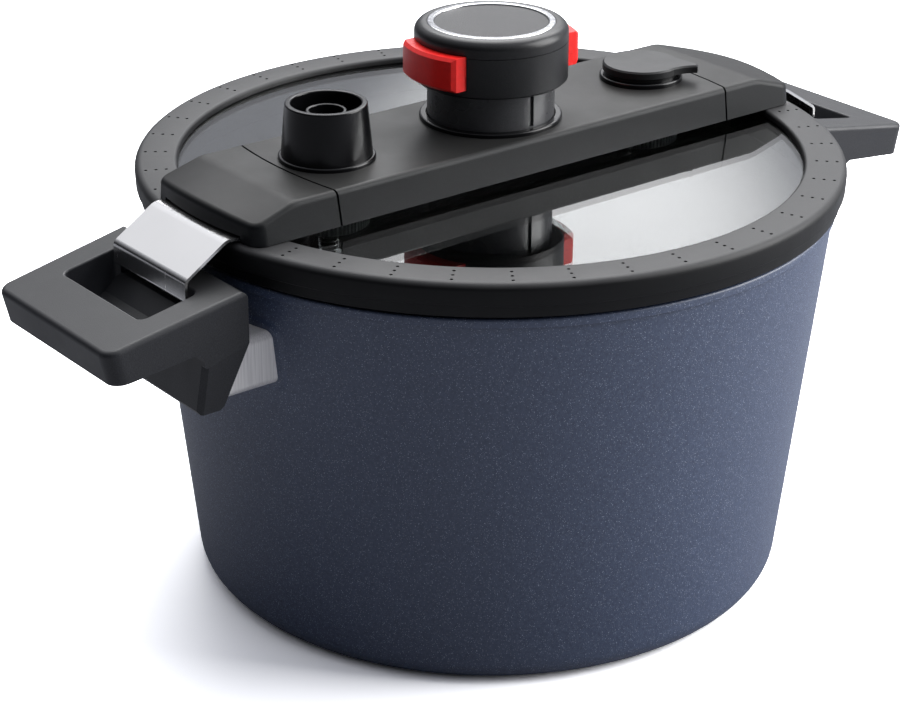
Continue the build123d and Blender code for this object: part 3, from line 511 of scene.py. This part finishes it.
def build_pot():
    """The pot, with turns close together where the pads are."""
    coarse = [t for t in np.arange(0, 360, 2.0) if min(t % 180, 180 - t % 180) > PAD_SPREAD]
    fine = [
        t % 360 for side in (0, 180)
        for t in np.arange(side - PAD_SPREAD, side + PAD_SPREAD + 0.01, 0.35)
    ]
    turns = sorted(set(round(float(t), 4) for t in coarse + fine))
    pot = revolve("pot_shell", pot_profile(), turns=turns, closed=False, shift=pad_height)
    dress(pot, COATING, "pot", ("pot_body",))
    pot.data.materials.append(LINING)
    for face in pot.data.polygons:
        middle = face.center / MM
        within_wall = math.hypot(middle.x, middle.y) < pot_outer(middle.z) - 1.5
        if within_wall and POT_FLOOR - 1 < middle.z < POT_HEIGHT - 0.3:
            face.material_index = 1


build_pot()


# ------------------------------------------------------------------ rim seal
def hole_pins():
    """Pins that stand in the seal's top face, three in a row, to cut its holes."""
    verts, faces = [], []
    for row in range(HOLE_ROWS):
        turn = math.radians(HOLE_TURN + 360 / HOLE_ROWS * row)
        for radius in HOLE_CIRCLES:
            centre = (radius * math.cos(turn), radius * math.sin(turn))
            first = len(verts)
            top = first + HOLE_SIDES
            ring = arc(centre, HOLE_RADIUS, 0, 360 - 360 / HOLE_SIDES, HOLE_SIDES - 1)
            for height in (HOLE_FLOOR, PIN_TOP):
                verts += [(x, y, height) for x, y in ring]
            faces.append([first + k for k in reversed(range(HOLE_SIDES))])
            faces.append([top + k for k in range(HOLE_SIDES)])
            for k in range(HOLE_SIDES):
                m = (k + 1) % HOLE_SIDES
                faces.append([first + k, first + m, top + m, top + k])
    return new_piece("seal_cutter", verts, faces)


def build_seal():
    """The silicone ring: it holds the glass edge, hangs over the pot's rim and seals inside it."""
    # Round the section: top face, outer lip, skirt inside the pot's rim, groove for the glass.
    profile = rounded(
        [(SEAL_INNER, GLASS_TOP), (112.9, SEAL_TOP), (SEAL_RADIUS, SEAL_TOP), (127.7, 151.0),
         (126.6, 150.6), (126.3, 146.6), (123.6, 146.6), (123.2, 145.7), (118.6, 145.7),
         (118.6, SEAL_SKIRT_LOW), (117.2, SEAL_SKIRT_LOW), (117.2, 148.0), (SEAL_INNER, 150.6),
         (SEAL_INNER, GLASS_LOW), (GLASS_RADIUS, GLASS_LOW), (GLASS_RADIUS, GLASS_TOP)],
        [0.3, 1.5, 2.6, 0.4, 0.5, 0.5, 0.3, 0.3, 0, 0.6, 0.6, 1.0, 0.5, 0.5, 0, 0], 6,
    )
    seal = revolve("rim_seal_ring", profile)
    cutter = hole_pins()
    cut = seal.modifiers.new("holes", "BOOLEAN")
    cut.operation = "DIFFERENCE"
    cut.object = cutter
    cut.solver = "EXACT"
    apply_modifiers(seal)
    bpy.data.objects.remove(cutter)
    smooth(seal)
    dress(seal, SILICONE, "lid", ("rim_seal",))


build_seal()


# ------------------------------------------------------------------ knurled nuts under the glass
def build_nut(name, stem_x, replaced):
    """A round nut with ribs all round, on the stem at this X."""
    count = NUT_RIBS * 4
    bore = STEM_RADIUS + STEM_CLEARANCE
    face = NUT_RADIUS - NUT_CHAMFER
    levels = [
        (face, NUT_LOW, False), (NUT_RADIUS, NUT_LOW + NUT_CHAMFER, True),
        (NUT_RADIUS, NUT_TOP - NUT_CHAMFER, True), (face, NUT_TOP, False),
        (bore, NUT_TOP, False), (bore, NUT_LOW, False),
    ]
    verts, faces = [], []
    for base, height, ribbed in levels:
        for k in range(count):
            rib = (RIB_CREST if k % 4 in (0, 1) else -RIB_GROOVE) if ribbed else 0.0
            a = 2 * math.pi * k / count
            verts.append((stem_x + (base + rib) * math.cos(a), (base + rib) * math.sin(a), height))
    for ring in range(len(levels)):
        above = (ring + 1) % len(levels)
        for k in range(count):
            m = (k + 1) % count
            faces.append([ring * count + k, ring * count + m, above * count + m, above * count + k])
    nut = new_piece(name, verts, faces, 25)
    dress(nut, NUT, "lid", (replaced,))


build_nut("regulator_knurled_nut", STEM_LEFT_X, "regulator_nut")
build_nut("vent_knurled_nut", STEM_RIGHT_X, "vent_nut")


# ------------------------------------------------------------------ stage, light and camera
# Everything from here on is in metres.
FLOOR_SIZE = 28.0
FLOOR_GAP = 0.0002
VIEW_TURN = math.radians(-38.05)
CAMERA_LENS = 97.52
CAMERA_PLACE = Vector((-0.52489, -0.64735, 0.45594))
CAMERA_TARGET = Vector((-0.01130, 0.00884, 0.07538))
CAMERA_ROLL = math.radians(0.154)
CARD_RISE = math.radians(23)

# The photograph's right, back and up, which the lights are placed by.
RIGHT = Vector((math.cos(VIEW_TURN), math.sin(VIEW_TURN), 0))
BACK = Vector((-math.sin(VIEW_TURN), math.cos(VIEW_TURN), 0))
UP = Vector((0, 0, 1))
LIGHT_AIM = UP * 0.12


def split_for_camera(tree, others, camera):
    """A shader that the camera meets as one thing and every other ray as another."""
    path = tree.nodes.new("ShaderNodeLightPath")
    mix = tree.nodes.new("ShaderNodeMixShader")
    tree.links.new(path.outputs["Is Camera Ray"], mix.inputs["Fac"])
    tree.links.new(others, mix.inputs[1])
    tree.links.new(camera, mix.inputs[2])
    return mix.outputs["Shader"]


def floor_finish():
    """White to the camera, but throwing back little light, so that the pot's sides stay dark."""
    material = bpy.data.materials.new("floor_white")
    material.use_nodes = True
    tree = material.node_tree
    tree.nodes.clear()
    white = tree.nodes.new("ShaderNodeBsdfDiffuse")
    white.inputs["Color"].default_value = (0.86, 0.86, 0.868, 1)
    lift = tree.nodes.new("ShaderNodeAddShader")
    tree.links.new(white.outputs["BSDF"], lift.inputs[0])
    tree.links.new(white.outputs["BSDF"], lift.inputs[1])
    dim = tree.nodes.new("ShaderNodeBsdfDiffuse")
    dim.inputs["Color"].default_value = (0.275, 0.28, 0.297, 1)
    both = split_for_camera(tree, dim.outputs["BSDF"], lift.outputs["Shader"])
    out = tree.nodes.new("ShaderNodeOutputMaterial")
    tree.links.new(both, out.inputs["Surface"])
    return material


def build_floor():
    """A wide flat floor just under the pot."""
    mesh = bpy.data.meshes.new("floor")
    half = FLOOR_SIZE / 2
    corners = [(-half, -half, 0), (half, -half, 0), (half, half, 0), (-half, half, 0)]
    mesh.from_pydata(corners, [], [(0, 1, 2, 3)])
    floor = put_in_scene("floor", mesh)
    floor.location.z = -FLOOR_GAP
    mesh.materials.append(floor_finish())


def softbox(name, right, back, up, width, height, radiance):
    """A rectangular lamp aimed at the pot."""
    light = bpy.data.lights.new(name, "AREA")
    light.shape = "RECTANGLE"
    light.size = width
    light.size_y = height
    light.energy = radiance * math.pi * width * height
    lamp = put_in_scene(name, light)
    lamp.location = RIGHT * right + BACK * back + UP * up
    lamp.rotation_euler = (LIGHT_AIM - lamp.location).to_track_quat("-Z", "Y").to_euler()
    lamp.visible_camera = False


def sky_lobe(tree, direction, heading, low, high, strength):
    """Light that grows smoothly from nothing at low to full at high, as the view nears heading."""
    lean = tree.nodes.new("ShaderNodeVectorMath")
    lean.operation = "DOT_PRODUCT"
    lean.inputs[1].default_value = heading.normalized()
    tree.links.new(direction, lean.inputs[0])
    ramp = tree.nodes.new("ShaderNodeMapRange")
    ramp.interpolation_type = "SMOOTHSTEP"
    ramp.inputs["From Min"].default_value = low
    ramp.inputs["From Max"].default_value = high
    ramp.inputs["To Min"].default_value = 0.0
    ramp.inputs["To Max"].default_value = strength
    tree.links.new(lean.outputs["Value"], ramp.inputs["Value"])
    return ramp.outputs["Result"]


def build_world():
    """A soft dome and a bright card behind the pot that the glass mirrors. White to the camera."""
    world = bpy.data.worlds.new("studio")
    bpy.context.scene.world = world
    world.use_nodes = True
    tree = world.node_tree
    tree.nodes.clear()
    direction = tree.nodes.new("ShaderNodeTexCoord").outputs["Generated"]
    dome = sky_lobe(tree, direction, RIGHT * 0.25 + BACK * 0.35 + UP * 0.9, -0.1, 1.05, 1.0)
    card_heading = BACK * math.cos(CARD_RISE) + RIGHT * 0.045 + UP * math.sin(CARD_RISE)
    card = sky_lobe(tree, direction, card_heading, 0.9925, 0.9993, 2.2)
    soft = tree.nodes.new("ShaderNodeAddShader")
    for slot, (light, tint) in enumerate(((dome, (0.9, 0.92, 1.0, 1)), (card, (1.0, 1.0, 1.0, 1)))):
        glow = tree.nodes.new("ShaderNodeBackground")
        glow.inputs["Color"].default_value = tint
        tree.links.new(light, glow.inputs["Strength"])
        tree.links.new(glow.outputs["Background"], soft.inputs[slot])
    plain = tree.nodes.new("ShaderNodeBackground")
    plain.inputs["Color"].default_value = (1, 1, 1, 1)
    both = split_for_camera(tree, soft.outputs["Shader"], plain.outputs["Background"])
    out = tree.nodes.new("ShaderNodeOutputWorld")
    tree.links.new(both, out.inputs["Surface"])


def build_camera():
    """The photograph's camera, found from the circles and straight lines of the pot."""
    data = bpy.data.cameras.new("camera")
    data.sensor_width = 36.0
    data.lens = CAMERA_LENS
    camera = put_in_scene("camera", data)
    camera.location = CAMERA_PLACE
    aim = (CAMERA_TARGET - CAMERA_PLACE).to_track_quat("-Z", "Y")
    roll = Matrix.Rotation(CAMERA_ROLL, 3, "Z").to_quaternion()
    camera.rotation_mode = "QUATERNION"
    camera.rotation_quaternion = aim @ roll
    data.clip_start = 0.01
    data.clip_end = 60.0
    bpy.context.scene.camera = camera


build_floor()
build_world()
softbox("top_softbox", 0.25, 1.05, 1.6, 1.7, 1.7, 5.0)
softbox("key_softbox", 1.3, 0.0, 0.7, 1.0, 1.2, 8.8)
softbox("left_softbox", -1.0, 1.1, 1.5, 1.1, 1.1, 0.52)
build_camera()
bpy.context.scene.view_settings.view_transform = "Standard"
